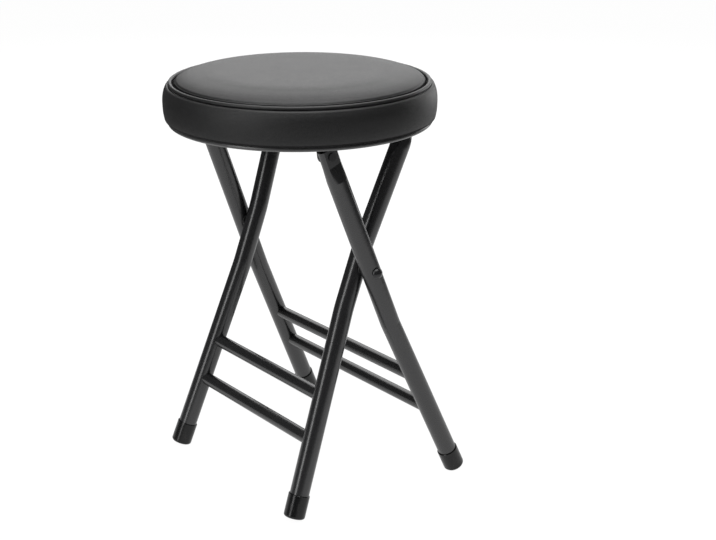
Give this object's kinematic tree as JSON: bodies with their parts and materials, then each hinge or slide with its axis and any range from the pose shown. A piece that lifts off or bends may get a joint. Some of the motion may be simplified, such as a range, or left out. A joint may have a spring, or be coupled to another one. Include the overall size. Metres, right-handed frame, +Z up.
{
  "type": "padded folding stool",
  "caption": "Round padded stool on crossed tubular legs that pivot on rivets; the seat hinges on one frame and catches the other's crossbar, so it folds for storage.",
  "frame": {"origin": "on the floor under the middle of the seat, stool open", "axes": "+Z up; X along the pivot rivets; the outer frame's feet stand at +Y and the seat hinges at -Y"},
  "size_m": [0.3108, 0.305, 0.477],
  "materials": {
    "frame_paint": "semi-gloss black powder paint",
    "rim_paint": "satin black paint",
    "pan_paint": "satin black paint",
    "rivet_paint": "semi-gloss black paint",
    "seat_vinyl": "black vinyl with a fine grain",
    "foot_rubber": "smooth moulded black",
    "seat_foam": "open-cell foam",
    "washer_nylon": "moulded nylon"
  },
  "bodies": {
    "seat": {"seat_pan": "pan_paint", "trim_ring": "rim_paint", "foam_pad": "seat_foam", "cover_top": "seat_vinyl", "cover_band": "seat_vinyl", "welt_piping": "seat_vinyl", "hinge_bracket_left": "pan_paint", "hinge_bracket_right": "pan_paint", "catch_hook_left": "pan_paint", "catch_hook_right": "pan_paint", "bracket_rivets": "rivet_paint"},
    "outer_frame": {"outer_leg_left": "frame_paint", "outer_leg_right": "frame_paint", "outer_upper_rung": "frame_paint", "outer_lower_rung": "frame_paint", "outer_foot_left": "foot_rubber", "outer_foot_right": "foot_rubber", "pivot_rivet_left": "rivet_paint", "pivot_rivet_right": "rivet_paint", "pivot_washer_left": "washer_nylon", "pivot_washer_right": "washer_nylon", "hinge_rivet_left": "rivet_paint", "hinge_rivet_right": "rivet_paint"},
    "inner_frame": {"inner_frame_tube": "frame_paint", "inner_upper_rung": "frame_paint", "inner_lower_rung": "frame_paint", "inner_foot_left": "foot_rubber", "inner_foot_right": "foot_rubber"}
  },
  "joints": [
    {"name": "leg_fold", "type": "hinge", "parent": "outer_frame", "child": "inner_frame", "pos_m": [0, 0, 0.2715], "axis": [1, 0, 0], "range_deg": [0, 28]},
    {"name": "seat_tilt", "type": "hinge", "parent": "outer_frame", "child": "seat", "pos_m": [0, -0.05212, 0.408], "axis": [1, 0, 0], "range_deg": [0, 103.6]}
  ],
  "couplings": [
    {"joint": "seat_tilt", "follows": "leg_fold", "ratio": 3.7}
  ]
}
